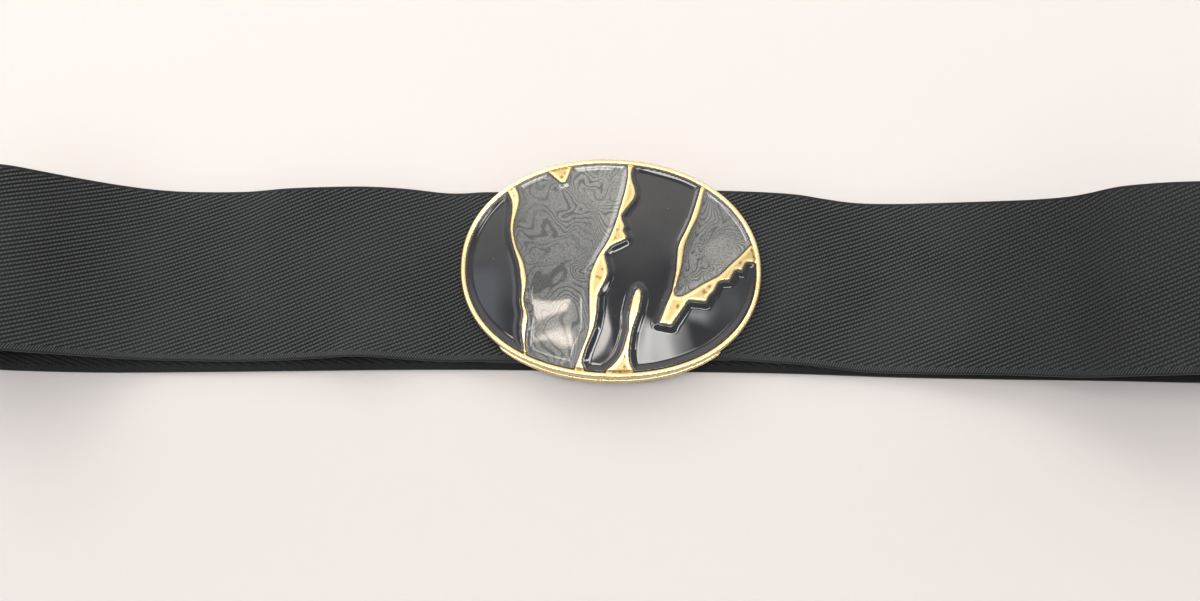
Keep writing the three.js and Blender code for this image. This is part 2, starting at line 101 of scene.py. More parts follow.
RIDGE_MIDDLE = [
    (1.1, 0.08, 0.19), (0.944, 0.095, 0.15), (0.91, 0.1, 0.135), (0.86, 0.101, 0.126), (0.8, 0.096, 0.131),
    (0.74, 0.089, 0.146), (0.7, 0.083, 0.153), (0.656, 0.076, 0.156), (0.61, 0.067, 0.146),
    (0.57, 0.06, 0.127), (0.52, 0.049, 0.1), (0.478, 0.041, 0.078), (0.45, 0.037, 0.065),
    (0.415, 0.029, 0.068), (0.373, 0.02, 0.081), (0.345, 0.013, 0.087), (0.302, 0.002, 0.078),
    (0.268, -0.007, 0.093), (0.247, -0.014, 0.1), (0.226, -0.021, 0.093), (0.204, -0.029, 0.063),
    (0.178, -0.039, 0.023), (0.153, -0.049, -0.0065), (0.11, -0.069, -0.031), (0.085, -0.08, -0.041),
    (0.04, -0.097, -0.035), (-0.01, -0.112, -0.025), (-0.05, -0.124, -0.019), (-0.093, -0.135, -0.0175),
    (-0.14, -0.14, -0.029), (-0.185, -0.143, -0.045), (-0.23, -0.143, -0.063), (-0.277, -0.143, -0.076),
    (-0.345, -0.142, -0.081), (-0.414, -0.14, -0.083), (-0.49, -0.139, -0.09), (-0.566, -0.141, -0.1),
    (-0.643, -0.153, -0.121), (-0.704, -0.169, -0.139), (-0.77, -0.188, -0.157), (-0.835, -0.204, -0.17),
    (-0.873, -0.214, -0.1725), (-0.91, -0.224, -0.161), (-1.1, -0.27, -0.12),
]
RIDGE_SHORT = [
    (-0.2135, 0.176, 0.182), (-0.24, 0.157, 0.196), (-0.3, 0.139, 0.1995), (-0.36, 0.129, 0.191),
    (-0.42, 0.12, 0.184), (-0.47, 0.114, 0.171), (-0.53, 0.113, 0.156), (-0.585, 0.114, 0.143),
    (-0.64, 0.103, 0.136), (-0.7, 0.092, 0.13), (-0.755, 0.08, 0.125), (-0.81, 0.062, 0.126),
    (-0.86, 0.037, 0.13), (-0.9, 0.01, 0.142), (-0.93, -0.02, 0.156), (-1.1, -0.12, 0.22),
]
RIDGE_RIGHT = [
    (1.1, 0.68, 0.68), (0.765, 0.586, 0.6295), (0.72, 0.579, 0.614), (0.66, 0.567, 0.603),
    (0.605, 0.555, 0.595), (0.55, 0.543, 0.586), (0.5, 0.531, 0.577), (0.44, 0.517, 0.562),
    (0.386, 0.5, 0.543), (0.33, 0.483, 0.524), (0.27, 0.461, 0.504), (0.22, 0.444, 0.489),
    (0.17, 0.432, 0.478), (0.117, 0.426, 0.472), (0.06, 0.424, 0.467), (0.005, 0.42, 0.462),
    (-0.05, 0.418, 0.453), (-0.107, 0.411, 0.441), (-0.17, 0.402, 0.427), (-0.22, 0.398, 0.409),
]
# The foot of the right ridge: along, level.
RIGHT_FOOT = [
    (0.3925, -0.235), (0.372, -0.304), (0.35, -0.373), (0.332, -0.442), (0.314, -0.503), (0.306, -0.523),
]
# The slanting ridge at the right: its upper edge and its torn lower edge, along, level.
SLANT_UPPER = [
    (0.414, -0.262), (0.43, -0.271), (0.46, -0.267), (0.5, -0.238), (0.549, -0.194), (0.595, -0.152),
    (0.645, -0.113), (0.695, -0.075), (0.727, -0.037), (0.757, 0.006), (0.797, 0.063), (0.83, 0.106),
    (0.865, 0.156), (0.9, 0.21), (0.932, 0.26),
]
SLANT_LOWER = [
    (0.395, -0.54), (0.407, -0.507), (0.432, -0.457), (0.4565, -0.407), (0.481, -0.358), (0.503, -0.31),
    (0.561, -0.3135), (0.616, -0.319), (0.629, -0.291), (0.638, -0.262), (0.65, -0.241), (0.67, -0.22),
    (0.688, -0.171), (0.701, -0.135), (0.721, -0.119), (0.769, -0.112), (0.785, -0.091), (0.797, -0.055),
    (0.81, -0.022), (0.828, -0.011), (0.862, -0.014), (0.869, 0.01), (0.881, 0.048), (0.895, 0.066),
    (0.97, 0.07),
]
# The pointed tab at the top of the grey centre cell: along, level.
TOP_TAB = [
    (-0.5, 1.1), (-0.441, 0.879), (-0.344, 0.762), (-0.326, 0.757), (-0.304, 0.773), (-0.289, 0.816),
    (-0.277, 0.872), (-0.27, 0.918), (-0.25, 0.945), (-0.24, 1.1),
]
# The strip's centre line in shares of the sizes above: along, lift, shift, then slant and curl where
# they aren't 0. The back layer lies flat on the table: along, shift.
LEFT_SIDE = [
    (-0.1, 0.138, -0.036), (-0.193, 0.137, -0.036), (-0.236, 0.09, -0.036), (-0.27, 0.086, -0.034),
    (-0.328, 0.128, -0.026, 0.035, 0.02), (-0.388, 0.148, -0.027, 0.08, 0.1),
    (-0.451, 0.15, -0.036, 0.094, 0.03), (-0.513, 0.142, -0.047, 0.09), (-0.58, 0.1, -0.055, 0.03),
    (-0.66, 0.09, -0.056), (-0.71, 0.125, -0.058), (-0.76, 0.24, -0.062), (-0.81, 0.44, -0.07),
    (-0.85, 0.66, -0.082), (-0.885, 0.81, -0.086), (-0.925, 0.87, -0.092), (-0.963, 0.8, -0.098),
    (-0.987, 0.64, -0.104), (-0.9957, 0.43, -0.11), (-0.985, 0.22, -0.114), (-0.957, 0.08, -0.117),
]
BACK_LAYER = [
    (-0.91, -0.122), (-0.78, -0.124), (-0.63, -0.111), (-0.476, -0.095), (-0.246, -0.073), (0, -0.067),
    (0.246, -0.061), (0.45, -0.073), (0.6, -0.074), (0.76, -0.072), (0.9, -0.074),
]
RIGHT_SIDE = [
    (0.948, 0.07, -0.074), (0.984, 0.24, -0.082, 0.03), (0.9957, 0.5, -0.094, 0.06),
    (0.984, 0.76, -0.106, 0.09), (0.945, 0.95, -0.116, 0.11), (0.89, 1.01, -0.122, 0.12),
    (0.84, 1.015, -0.125, 0.12), (0.79, 0.99, -0.128, 0.12), (0.755, 0.93, -0.128, 0.13),
    (0.728, 0.81, -0.12, 0.155), (0.71, 0.625, -0.108, 0.155), (0.69, 0.475, -0.096, 0.13),
    (0.65, 0.36, -0.084, 0.08), (0.595, 0.27, -0.073, 0.04), (0.51, 0.165, -0.064, 0.02),
    (0.45, 0.1, -0.058, 0.01), (0.39, 0.083, -0.052), (0.34, 0.092, -0.034, 0.01),
    (0.295, 0.12, -0.019, 0.035), (0.25, 0.115, -0.009, 0.05), (0.193, 0.137, -0.003), (0.1, 0.138, 0),
]
TURN_BACK_END = 0.185
LEFT_BAR_SHIFT = -0.036
RIGHT_BAR_SHIFT = 0.0
CURL_START = 0.3


# Mesh helpers
def unit(values):
    return np.clip(values, 0, 1)


def into_scene(obj):
    bpy.context.scene.collection.objects.link(obj)
    return obj


def mesh_object(name, verts, loops, counts, uvs=None, seam=None):
    """verts in mm; loops are vertex indices face by face, counts the corners of each face.
    seam is 1 where a fill meets its wall, 0 away from there and -1 on the casting's wide places."""
    # where seam is above 0 the materials paint shade: on the gold along the cells' walls and the rim's
    # groove, and round the grey fills
    mesh = bpy.data.meshes.new(name)
    verts = np.asarray(verts, float) * MM
    loops = np.asarray(loops, np.int32)
    counts = np.asarray(counts, np.int32)
    mesh.vertices.add(len(verts))
    mesh.vertices.foreach_set("co", verts.ravel())
    mesh.loops.add(len(loops))
    mesh.loops.foreach_set("vertex_index", loops)
    starts = np.concatenate([[0], np.cumsum(counts)[:-1]]).astype(np.int32)
    mesh.polygons.add(len(counts))
    mesh.polygons.foreach_set("loop_start", starts)
    mesh.polygons.foreach_set("loop_total", counts)
    mesh.polygons.foreach_set("use_smooth", np.full(len(counts), True))
    for layer, values in (uvs or {}).items():
        uv = mesh.uv_layers.new(name=layer)
        uv.data.foreach_set("uv", np.asarray(values)[loops].astype(np.float32).ravel())
    if seam is not None:
        mesh.attributes.new("seam", "FLOAT", "POINT").data.foreach_set("value", np.asarray(seam, np.float32))
    mesh.update(calc_edges=True)
    mesh.validate()
    return into_scene(bpy.data.objects.new(name, mesh))


class Builder:
    """Collects vertices and faces of one piece."""

    def __init__(self):
        self.verts, self.loops, self.counts, self.seams, self.total = [], [], [], [], 0

    def add(self, verts, faces, seam=None):
        verts = np.asarray(verts, float)
        faces = np.asarray(faces, int)
        self.verts.append(verts)
        self.seams.append(np.zeros(len(verts)) if seam is None else np.asarray(seam, float))
        self.loops.append((faces + self.total).ravel())
        self.counts.append(np.full(len(faces), faces.shape[1]))
        self.total += len(verts)

    def object(self, name):
        return mesh_object(name, np.concatenate(self.verts), np.concatenate(self.loops),
                           np.concatenate(self.counts), seam=np.concatenate(self.seams))


def grid_faces(rows, cols, close_rows=False, close_cols=False, flip=False):
    i = np.arange(rows if close_rows else rows - 1)
    j = np.arange(cols if close_cols else cols - 1)
    ii, jj = np.meshgrid(i, j, indexing="ij")
    a = ii * cols + jj
    b = ((ii + 1) % rows) * cols + jj
    c = ((ii + 1) % rows) * cols + (jj + 1) % cols
    d = ii * cols + (jj + 1) % cols
    quads = np.stack([a, b, c, d], axis=-1).reshape(-1, 4)
    return quads[:, ::-1] if flip else quads


# The strip
def strip_rows():
    rows = []

    def from_table(table):
        for along, lift, shift, *twist in table:
            slant, curl = (*twist, 0, 0)[:2]
            place = (along * HALF_LENGTH, lift * FOLD_LIFT, shift * BAND_WIDTH)
            rows.append((*place, slant * FOLD_LIFT, curl * FOLD_LIFT))

    def wrap(side, shift, backwards):
        turns = [-math.pi / 2 + k / 6 * math.pi for k in range(7)]
        for turn in (reversed(turns) if backwards else turns):
            x = side * (BAR_OFFSET - WRAP_RADIUS * math.cos(turn))
            z = BAR_CENTRE + WRAP_RADIUS * math.sin(turn)
            rows.append((x, z, shift * BAND_WIDTH, 0, 0))

    end_lift = (BAR_CENTRE - WRAP_RADIUS) / FOLD_LIFT
    from_table([(-TURN_BACK_END, end_lift, LEFT_BAR_SHIFT)])
    wrap(-1, LEFT_BAR_SHIFT, False)
    from_table(LEFT_SIDE)
    for along, shift in BACK_LAYER:
        rows.append((along * HALF_LENGTH, BAND_THICKNESS / 2, shift * BAND_WIDTH, 0, 0))
    from_table(RIGHT_SIDE)
    wrap(1, RIGHT_BAR_SHIFT, True)
    from_table([(TURN_BACK_END, end_lift, RIGHT_BAR_SHIFT)])
    return np.array(rows, float)


def steady_curve(rows, per_row):
    """The same curve as the solids follow, sampled evenly between rows."""
    padded = np.vstack([2 * rows[0] - rows[1], rows, 2 * rows[-1] - rows[-2]])
    out = []
    for k in range(len(rows) - 1):
        p0, p1, p2, p3 = padded[k:k + 4]
        t = np.arange(per_row)[:, None] / per_row
        t0, t1 = 0.5 * (p2 - p0), 0.5 * (p3 - p1)
        square = -3 * p1 + 3 * p2 - 2 * t0 - t1
        cube = 2 * p1 - 2 * p2 + t0 + t1
        out.append(p1 + t0 * t + square * t ** 2 + cube * t ** 3)
    out.append(rows[-1:])
    return np.vstack(out)


RIB_STEPS = 4
NEAR_SELVEDGE = 1.8
FAR_SELVEDGE = 1.0
EDGE_ROUND = 0.35
OUTER_STEPS = 170
INNER_STEPS = 14
RIB_DEPTH = 0.2
RIB_HEIGHTS = np.array([0.0, 0.72, 1.0, 0.8])
COLUMNS_PER_STATION = 3
CURVE_STEPS = 48
FRONT_HEIGHT = 1.5
PLAIN_HALF_RUN = 20
PLAIN_GAP = 0.62
BACK_RIB_ANGLE = 19.0
# The strip's rounded edges: level as a height above its middle, inset from its side.
EDGE_POINTS = [(0.62, 0.16), (0.3, 0.0), (-0.3, 0.0), (-0.62, 0.16)]


def rib_slope(x, front):
    """How steeply the ribs climb along the strip, by place."""
    spots = [-190, -168, -153, -143, -130, -110, -87, -72, -55, 50, 63, 76, 103, 118, 126, 133, 140, 190]
    angles = [20.5, 20.5, 19.5, 20, 22, 20, 21.5, 23, 25, 23, 26, 22, 23, 23.5, 22, 18, 22.5, 22.5]
    angle = np.interp(x, spots, angles) if front else BACK_RIB_ANGLE
    return math.tan(math.radians(angle))


def strip_object():
    fine = steady_curve(strip_rows(), CURVE_STEPS)
    fine[:, 1] = np.maximum(fine[:, 1], BAND_THICKNESS / 2)
    step = np.hypot(np.diff(fine[:, 0]), np.diff(fine[:, 1]))
    length = np.concatenate([[0], np.cumsum(step)])
    span = 2 * (BAND_WIDTH / 2 - EDGE_ROUND)
    pitch = span / OUTER_STEPS
    # stations: spaced so that the mesh rows run along the ribs
    stations, shears = [0.0], []
    while True:
        s = stations[-1]
        x = np.interp(s, length, fine[:, 0])
        z = np.interp(s, length, fine[:, 1])
        ahead = np.interp(s + 1.0, length, fine[:, 0]) - x
        raised = z > FRONT_HEIGHT
        if abs(x) < PLAIN_HALF_RUN and raised:
            gap, shear = PLAIN_GAP, 0
        else:
            slope = rib_slope(x, ahead < 0 and raised)
            gap, shear = COLUMNS_PER_STATION * pitch / slope, COLUMNS_PER_STATION
        if s + gap * 1.5 > length[-1]:
            break
        stations.append(s + gap)
        shears.append(shear)
    stations.append(length[-1])
    shears.append(0)
    stations = np.array(stations)
    centre = np.stack([np.interp(stations, length, fine[:, c]) for c in range(5)], axis=1)
    # a tiny step keeps points at the same place apart
    apart = length + np.arange(len(length)) * 1e-9
    slopes = [np.gradient(fine[:, c], apart) for c in range(2)]
    heading = np.stack([np.interp(stations, length, slope) for slope in slopes], axis=1)
    heading /= np.linalg.norm(heading, axis=1)[:, None]
    inward = np.stack([-heading[:, 1], heading[:, 0]], axis=1)
    count = len(stations)
    rolled = np.concatenate([[0], np.cumsum(shears)])

    def spots(t, out):
        """t across and out outwards, arrays of stations by columns."""
        across = t / (BAND_WIDTH / 2)
        turn = np.clip((-across - CURL_START) / (1 - CURL_START), 0, None) ** 2
        rise = centre[:, 3:4] * across / 2 + np.clip(centre[:, 4:5], 0, None) * turn
        x = centre[:, 0:1] - inward[:, 0:1] * out
        z = centre[:, 1:2] - inward[:, 1:2] * out + rise
        y = centre[:, 2:3] + t
        return np.stack([x + 0 * t, y, np.maximum(z, 0.0)], axis=-1).reshape(-1, 3)

    def at_all_stations(row):
        return row[None, :] + np.zeros((count, 1))

    j = np.arange(OUTER_STEPS + 1)
    t = at_all_stations(-span / 2 + j * pitch)
    rib = RIB_HEIGHTS[(j[None, :] + rolled[:, None]) % RIB_STEPS]
    from_near, from_far = BAND_WIDTH / 2 + t, BAND_WIDTH / 2 - t
    into_edge = np.maximum(NEAR_SELVEDGE + 0.2 - from_near, FAR_SELVEDGE + 0.2 - from_far)
    plain = unit(into_edge / 0.4)
    cord = unit(1 - ((np.minimum(from_near, from_far) - 0.7) / 0.5) ** 2)
    height = (1 - plain) * rib + plain * (0.4 + 0.5 * cord)
    out = BAND_THICKNESS / 2 - RIB_DEPTH * (1 - height)
    outer = spots(t, out)
    cols = OUTER_STEPS + 1
    quads, tris = [], []
    for i, k in enumerate(shears):
        row, after = i * cols, (i + 1) * cols
        jj = np.arange(k, OUTER_STEPS)
        quads.append(np.stack([row + jj, row + jj + 1, after + jj + 1 - k, after + jj - k], axis=1))
        for m in range(k):
            tris.append((row + m, row + m + 1, after))
            tris.append((row + OUTER_STEPS, after + OUTER_STEPS - m, after + OUTER_STEPS - m - 1))
    quads = np.concatenate(quads)
    tris = np.array(tris)

    ti = at_all_stations(np.linspace(-span / 2, span / 2, INNER_STEPS + 1))
    inner = spots(ti, -BAND_THICKNESS / 2 + 0 * ti)
    base_inner = len(outer)
    icols = INNER_STEPS + 1
    inner_quads = grid_faces(count, icols) + base_inner

    levels, insets = np.array(EDGE_POINTS).T
    per_edge = len(EDGE_POINTS)
    edge_sets = []
    base_edges = base_inner + len(inner)
    base = base_edges
    edge_quads = []
    for side in (-1, 1):
        te = at_all_stations(side * (BAND_WIDTH / 2 - insets))
        pts = spots(te, at_all_stations(levels))
        edge_sets.append((pts, te))
        first = np.arange(count) * cols + (0 if side < 0 else OUTER_STEPS)
        last = base_inner + np.arange(count) * icols + (0 if side < 0 else INNER_STEPS)
        middle = [base + np.arange(count) * per_edge + m for m in range(per_edge)]
        lines = [first, *middle, last]
        for a, b in zip(lines[:-1], lines[1:]):
            quad = np.stack([a[:-1], a[1:], b[1:], b[:-1]], axis=1)
            edge_quads.append(quad if side < 0 else quad[:, ::-1])
        base += len(pts)
    verts = np.vstack([outer, inner, edge_sets[0][0], edge_sets[1][0]])

    # end caps, as fans round a middle point
    caps = []
    for end, flip in ((0, False), (count - 1, True)):
        ring = [end * cols + c for c in range(cols)]
        ring += [base_edges + (count + end) * per_edge + m for m in range(per_edge)]
        ring += [base_inner + end * icols + c for c in range(icols - 1, -1, -1)]
        ring += [base_edges + end * per_edge + m for m in range(per_edge - 1, -1, -1)]
        mid = len(verts)
        verts = np.vstack([verts, verts[ring].mean(axis=0)])
        for a, b in zip(ring, ring[1:] + ring[:1]):
            caps.append((mid, a, b) if flip else (mid, b, a))
    all_quads = np.concatenate([quads, inner_quads, *edge_quads])
    all_tris = np.concatenate([tris, np.array(caps)])

    # texture lines: along the strip and across it, and the count of ribs passed
    def uv_along(tt):
        return np.stack([np.repeat(stations * MM, tt.shape[1]), tt.ravel() * MM], axis=1)

    def uv_rib(tt):
        count_passed = (tt / pitch + span / 2 / pitch + rolled[:, None]) / RIB_STEPS
        return np.stack([count_passed.ravel(), np.repeat(stations * MM, tt.shape[1])], axis=1)

    parts = [t, ti, edge_sets[0][1], edge_sets[1][1]]
    cap_middles = np.zeros((2, 2))
    uv1 = np.vstack([uv_along(part) for part in parts] + [cap_middles])
    uv2 = np.vstack([uv_rib(part) for part in parts] + [cap_middles])
    loops = np.concatenate([all_quads.ravel(), all_tris.ravel()])
    counts = np.concatenate([np.full(len(all_quads), 4), np.full(len(all_tris), 3)])
    triangles = 2 * len(all_quads) + len(all_tris)
    print("strip stations", count, "triangles", triangles, "length mm", round(length[-1], 1))
    return mesh_object("elastic_band_woven", verts, loops, counts, {"strip": uv1, "ribs": uv2})


# The buckle's face
def on_face(points):
    points = np.asarray(points, float)
    return points * np.array([BUCKLE_HALF_LENGTH * GRID_ALONG, BUCKLE_HALF_HEIGHT * GRID_ACROSS])


def distance_to(outline, px, py):
    """Signed distance from an outline, negative inside, for arrays of points."""
    outline = np.asarray(outline, float)
    best = np.full(px.shape, 1e9)
    inside = np.zeros(px.shape, bool)
    for a, b in zip(outline, np.roll(outline, -1, axis=0)):
        e = b - a
        wx, wy = px - a[0], py - a[1]
        t = unit((wx * e[0] + wy * e[1]) / (e @ e + 1e-12))
        best = np.minimum(best, (wx - e[0] * t) ** 2 + (wy - e[1] * t) ** 2)
        crosses = ((a[1] <= py) & (b[1] > py)) | ((b[1] <= py) & (a[1] > py))
        with np.errstate(divide="ignore", invalid="ignore"):
            hit = a[0] + (py - a[1]) * e[0] / (e[1] if abs(e[1]) > 1e-12 else 1e-12)
        inside ^= crosses & (px < hit)
    return np.where(inside, -np.sqrt(best), np.sqrt(best))


def soft_max(a, b, k=0.5):
    h = unit(0.5 + 0.5 * (a - b) / k)
    return b * (1 - h) + a * h + k * h * (1 - h) / 2


def side_line(table, side):
    return [(row[side], row[0]) for row in table]


def half_outline(table, side, reach):
    pts = side_line(table, side)
    return on_face(pts + [(reach, pts[-1][1]), (reach, pts[0][1])])


def fuller(share):
    return np.sign(share) * np.abs(share) ** (2 / OVAL_POWER)


def oval_points(half_along, half_across, steps):
    """The buckle's outline, a little fuller than an ellipse and turned a little on the band."""
    turn = np.linspace(0, 2 * math.pi, steps, endpoint=False)
    x, y = half_along * fuller(np.cos(turn)), half_across * fuller(np.sin(turn))
    c, s = math.cos(OVAL_TURN), math.sin(OVAL_TURN)
    return np.stack([x * c - y * s, x * s + y * c], axis=1)


def oval_distance(px, py, half_along, half_across):
    return distance_to(oval_points(half_along, half_across, 240), px, py)


def cell_distances(px, py):
    """Signed distances from the four cells, negative inside each."""
    oval = oval_distance(px, py, BUCKLE_HALF_LENGTH * RIM_SHARE_ALONG, BUCKLE_HALF_HEIGHT * RIM_SHARE_ACROSS)

    def outside(outline):
        return -distance_to(outline, px, py)

    left_of_a = outside(half_outline(RIDGE_LEFT, 1, 1.4))
    right_of_a = outside(half_outline(RIDGE_LEFT, 2, -1.4))
    left_of_b = outside(half_outline(RIDGE_MIDDLE, 1, 1.4))
    right_of_b = outside(half_outline(RIDGE_MIDDLE, 2, -1.4))
    tab = outside(on_face(TOP_TAB))
    short = outside(on_face(side_line(RIDGE_SHORT, 1) + side_line(RIDGE_SHORT, 2)[::-1]))
    past_slant, past_grey = [(1.4, 0.07), (1.4, 1.1)], [(1.4, 0.9), (1.4, 1.1)]
    gold_right = on_face(side_line(RIDGE_RIGHT, 1)[:-1] + RIGHT_FOOT + SLANT_LOWER + past_slant)
    right_block = outside(gold_right)
    grey_outline = on_face(side_line(RIDGE_RIGHT, 2) + SLANT_UPPER + past_grey)
    centre = soft_max(soft_max(soft_max(oval, right_of_a), left_of_b), tab, 0.35)
    black = soft_max(soft_max(soft_max(oval, right_of_b), short, 0.35), right_block, 0.35)
    return {
        "enamel_black_left": soft_max(oval, left_of_a),
        "enamel_grey_centre": centre,
        "enamel_black_centre": black,
        "enamel_grey_right": soft_max(oval, distance_to(grey_outline, px, py)),
    }


def crown(x, y):
    return RIDGE_TOP - x * x / (2 * CROWN_ALONG) - y * y / (2 * CROWN_ACROSS)


def waves(x, y, seed, size, count=9):
    """A smooth random surface of the given wave size, between about -1 and 1."""
    rng = np.random.default_rng(seed)
    total = np.zeros(np.shape(x))
    for _ in range(count):
        turn = rng.uniform(0, math.pi)
        wave = size * rng.uniform(0.7, 1.5)
        phase = rng.uniform(0, 2 * math.pi)
        total += np.sin((x * math.cos(turn) + y * math.sin(turn)) * 2 * math.pi / wave + phase)
    return total / math.sqrt(count) / 1.2


# The four sides of a grid square: the step to its neighbour there and the two corners of its wall.
SQUARE_SIDES = (
    (-1, 0, (0, 1), (0, 0)),
    (1, 0, (1, 0), (1, 1)),
    (0, -1, (0, 0), (1, 0)),
    (0, 1, (1, 1), (0, 1)),
)


def slab_from_grid(builder, xs, ys, inside, top, bottom, seam):
    """A closed plate from the bottom surface up to the top one, over the squares wholly inside."""
    keep = inside[:-1, :-1] & inside[1:, :-1] & inside[:-1, 1:] & inside[1:, 1:]
    nx, ny = len(xs), len(ys)
    used = np.zeros((nx, ny), bool)
    for di in (0, 1):
        for dj in (0, 1):
            used[di:nx - 1 + di, dj:ny - 1 + dj] |= keep
    index = np.full((nx, ny), -1)
    index[used] = np.arange(used.sum())
    gx, gy = np.meshgrid(xs, ys, indexing="ij")
    n = used.sum()
    upper = np.stack([gx[used], gy[used], top[used]], axis=1)
    lower = np.stack([gx[used], gy[used], bottom[used]], axis=1)
    i, j = np.nonzero(keep)
    a, b, c, d = index[i, j], index[i + 1, j], index[i + 1, j + 1], index[i, j + 1]
    tops = np.stack([a, b, c, d], axis=1)
    bottoms = np.stack([d, c, b, a], axis=1) + n
    walls = []
    padded = np.zeros((nx + 1, ny + 1), bool)
    padded[1:nx, 1:ny] = keep
    for di, dj, first, second in SQUARE_SIDES:
        open_side = keep & ~padded[1 + di:nx + di, 1 + dj:ny + dj]
        i, j = np.nonzero(open_side)
        p = index[i + first[0], j + first[1]]
        q = index[i + second[0], j + second[1]]
        walls.append(np.stack([p, p + n, q + n, q], axis=1))
    faces = np.concatenate([tops, bottoms, *walls])
    builder.add(np.vstack([upper, lower]), faces, np.tile(seam[used], 2))


FACE_PITCH = 0.33
RIDGE_ROUND_WIDE = 0.8
RIDGE_ROUND_DEEP = 0.42
PIT_DEPTH = 0.03
PLATE_INSET = 0.6
OVAL_STEPS = 320
# The rim's section: out from the buckle's outline, up from the crown.
RIM_PROFILE = [
    (-1.9, -1.75), (-1.88, -0.95), (-1.8, -0.55), (-1.62, -0.24), (-1.3, -0.06), (-0.95, 0.0),
    (-0.62, -0.03), (-0.36, -0.15), (-0.15, -0.38), (-0.04, -0.68), (0.0, -1.0), (0.0, -1.7), (-0.05, -2.1),
    (-0.16, -2.4), (-0.34, -2.6),
]


def casting_object():
    build = Builder()
    xs = np.arange(-BUCKLE_HALF_LENGTH, BUCKLE_HALF_LENGTH + FACE_PITCH, FACE_PITCH)
    ys = np.arange(-BUCKLE_HALF_HEIGHT, BUCKLE_HALF_HEIGHT + FACE_PITCH, FACE_PITCH)
    gx, gy = np.meshgrid(xs, ys, indexing="ij")
    cells = cell_distances(gx, gy)
    gold = np.minimum.reduce(list(cells.values()))
    share = unit(1 - gold / RIDGE_ROUND_WIDE)
    drop = RIDGE_ROUND_DEEP * (1 - np.sqrt(unit(1 - share ** 2)))
    drop = np.where(gold < 0, RIDGE_ROUND_DEEP + np.clip(-gold * 3, 0, 1.1), drop)
    # pits of the casting on its wide places
    wide = unit((gold - 0.8) / 0.6)
    pits = PIT_DEPTH * waves(gx, gy, 5, 3.4, 12) * wide
    top = crown(gx, gy) - drop + pits - 0.04 * wide
    # the swept rim covers the plate's edge
    rim_depth = -oval_distance(gx, gy, BUCKLE_HALF_LENGTH, BUCKLE_HALF_HEIGHT)
    top -= 0.9 * unit((2.05 - rim_depth) / 0.35)
    bottom = crown(gx, gy) - RIDGE_TOP + PLATE_UNDERSIDE
    # seam is 1 along the walls of the cells, where the gold is given painted shade, and -1 on the wide
    # places
    seam = unit(1 - gold / RIDGE_ROUND_DEEP) - wide
    slab_from_grid(build, xs, ys, rim_depth > PLATE_INSET, top, bottom, seam)

    # rim, wall and foot flange, one profile swept round the oval
    steps = OVAL_STEPS
    ex, ey = oval_points(BUCKLE_HALF_LENGTH, BUCKLE_HALF_HEIGHT, steps).T
    nx = np.roll(ey, -1) - np.roll(ey, 1)
    ny = np.roll(ex, 1) - np.roll(ex, -1)
    norm = np.hypot(nx, ny)
    nx, ny = nx / norm, ny / norm
    reach = unit((SKIRT_HALF_RUN - np.abs(ex)) / 3.0)
    reach = reach * reach * (3 - 2 * reach)
    top_level = crown(ex, ey)
    under = top_level - RIDGE_TOP + PLATE_UNDERSIDE
    base = under - 0.15 + (SKIRT_BASE - under + 0.15) * reach
    flange_top = np.minimum(base + FLANGE_HEIGHT, under - 0.05)
    lines = []
    for off, level in RIM_PROFILE:
        lines.append((np.full(steps, off), top_level + level))
    lines.append((np.full(steps, -SKIRT_INSET), np.minimum(top_level - 2.68, under + 0.3)))
    lines.append((np.full(steps, -0.52), flange_top))
    out = reach - SKIRT_INSET
    for share_out, level in ((0.45, 0.02), (0.85, -0.1), (1.0, -0.35)):
        lines.append((-SKIRT_INSET + (out + SKIRT_INSET) * share_out, flange_top + level * reach))
    for share_out, level in ((1.0, 0.4), (0.88, 0.12), (0.6, 0.0)):
        lines.append((-SKIRT_INSET + (out + SKIRT_INSET) * share_out, base + level * reach))
    lines.append((np.full(steps, -1.55), base))
    lines.append((np.full(steps, -1.7), base + 0.15 * reach))
    lines.append((np.full(steps, -1.7), under - 0.02))
    verts = np.stack([np.stack([ex + nx * o, ey + ny * o, z], axis=1) for o, z in lines], axis=1)
    cols = len(lines)
    # painted shade in the groove under the rim's lip, where it meets the wall, through the seam values
    groove_shade = np.zeros(cols)
    groove_shade[len(RIM_PROFILE) - 2:len(RIM_PROFILE) + 2] = (0.6, 1.0, 1.0, 1.0)
    build.add(verts.reshape(-1, 3), grid_faces(steps, cols, close_rows=True, close_cols=True, flip=True),
              np.tile(groove_shade, steps))
    hardware(build)
    return build.object("buckle_casting_detail")


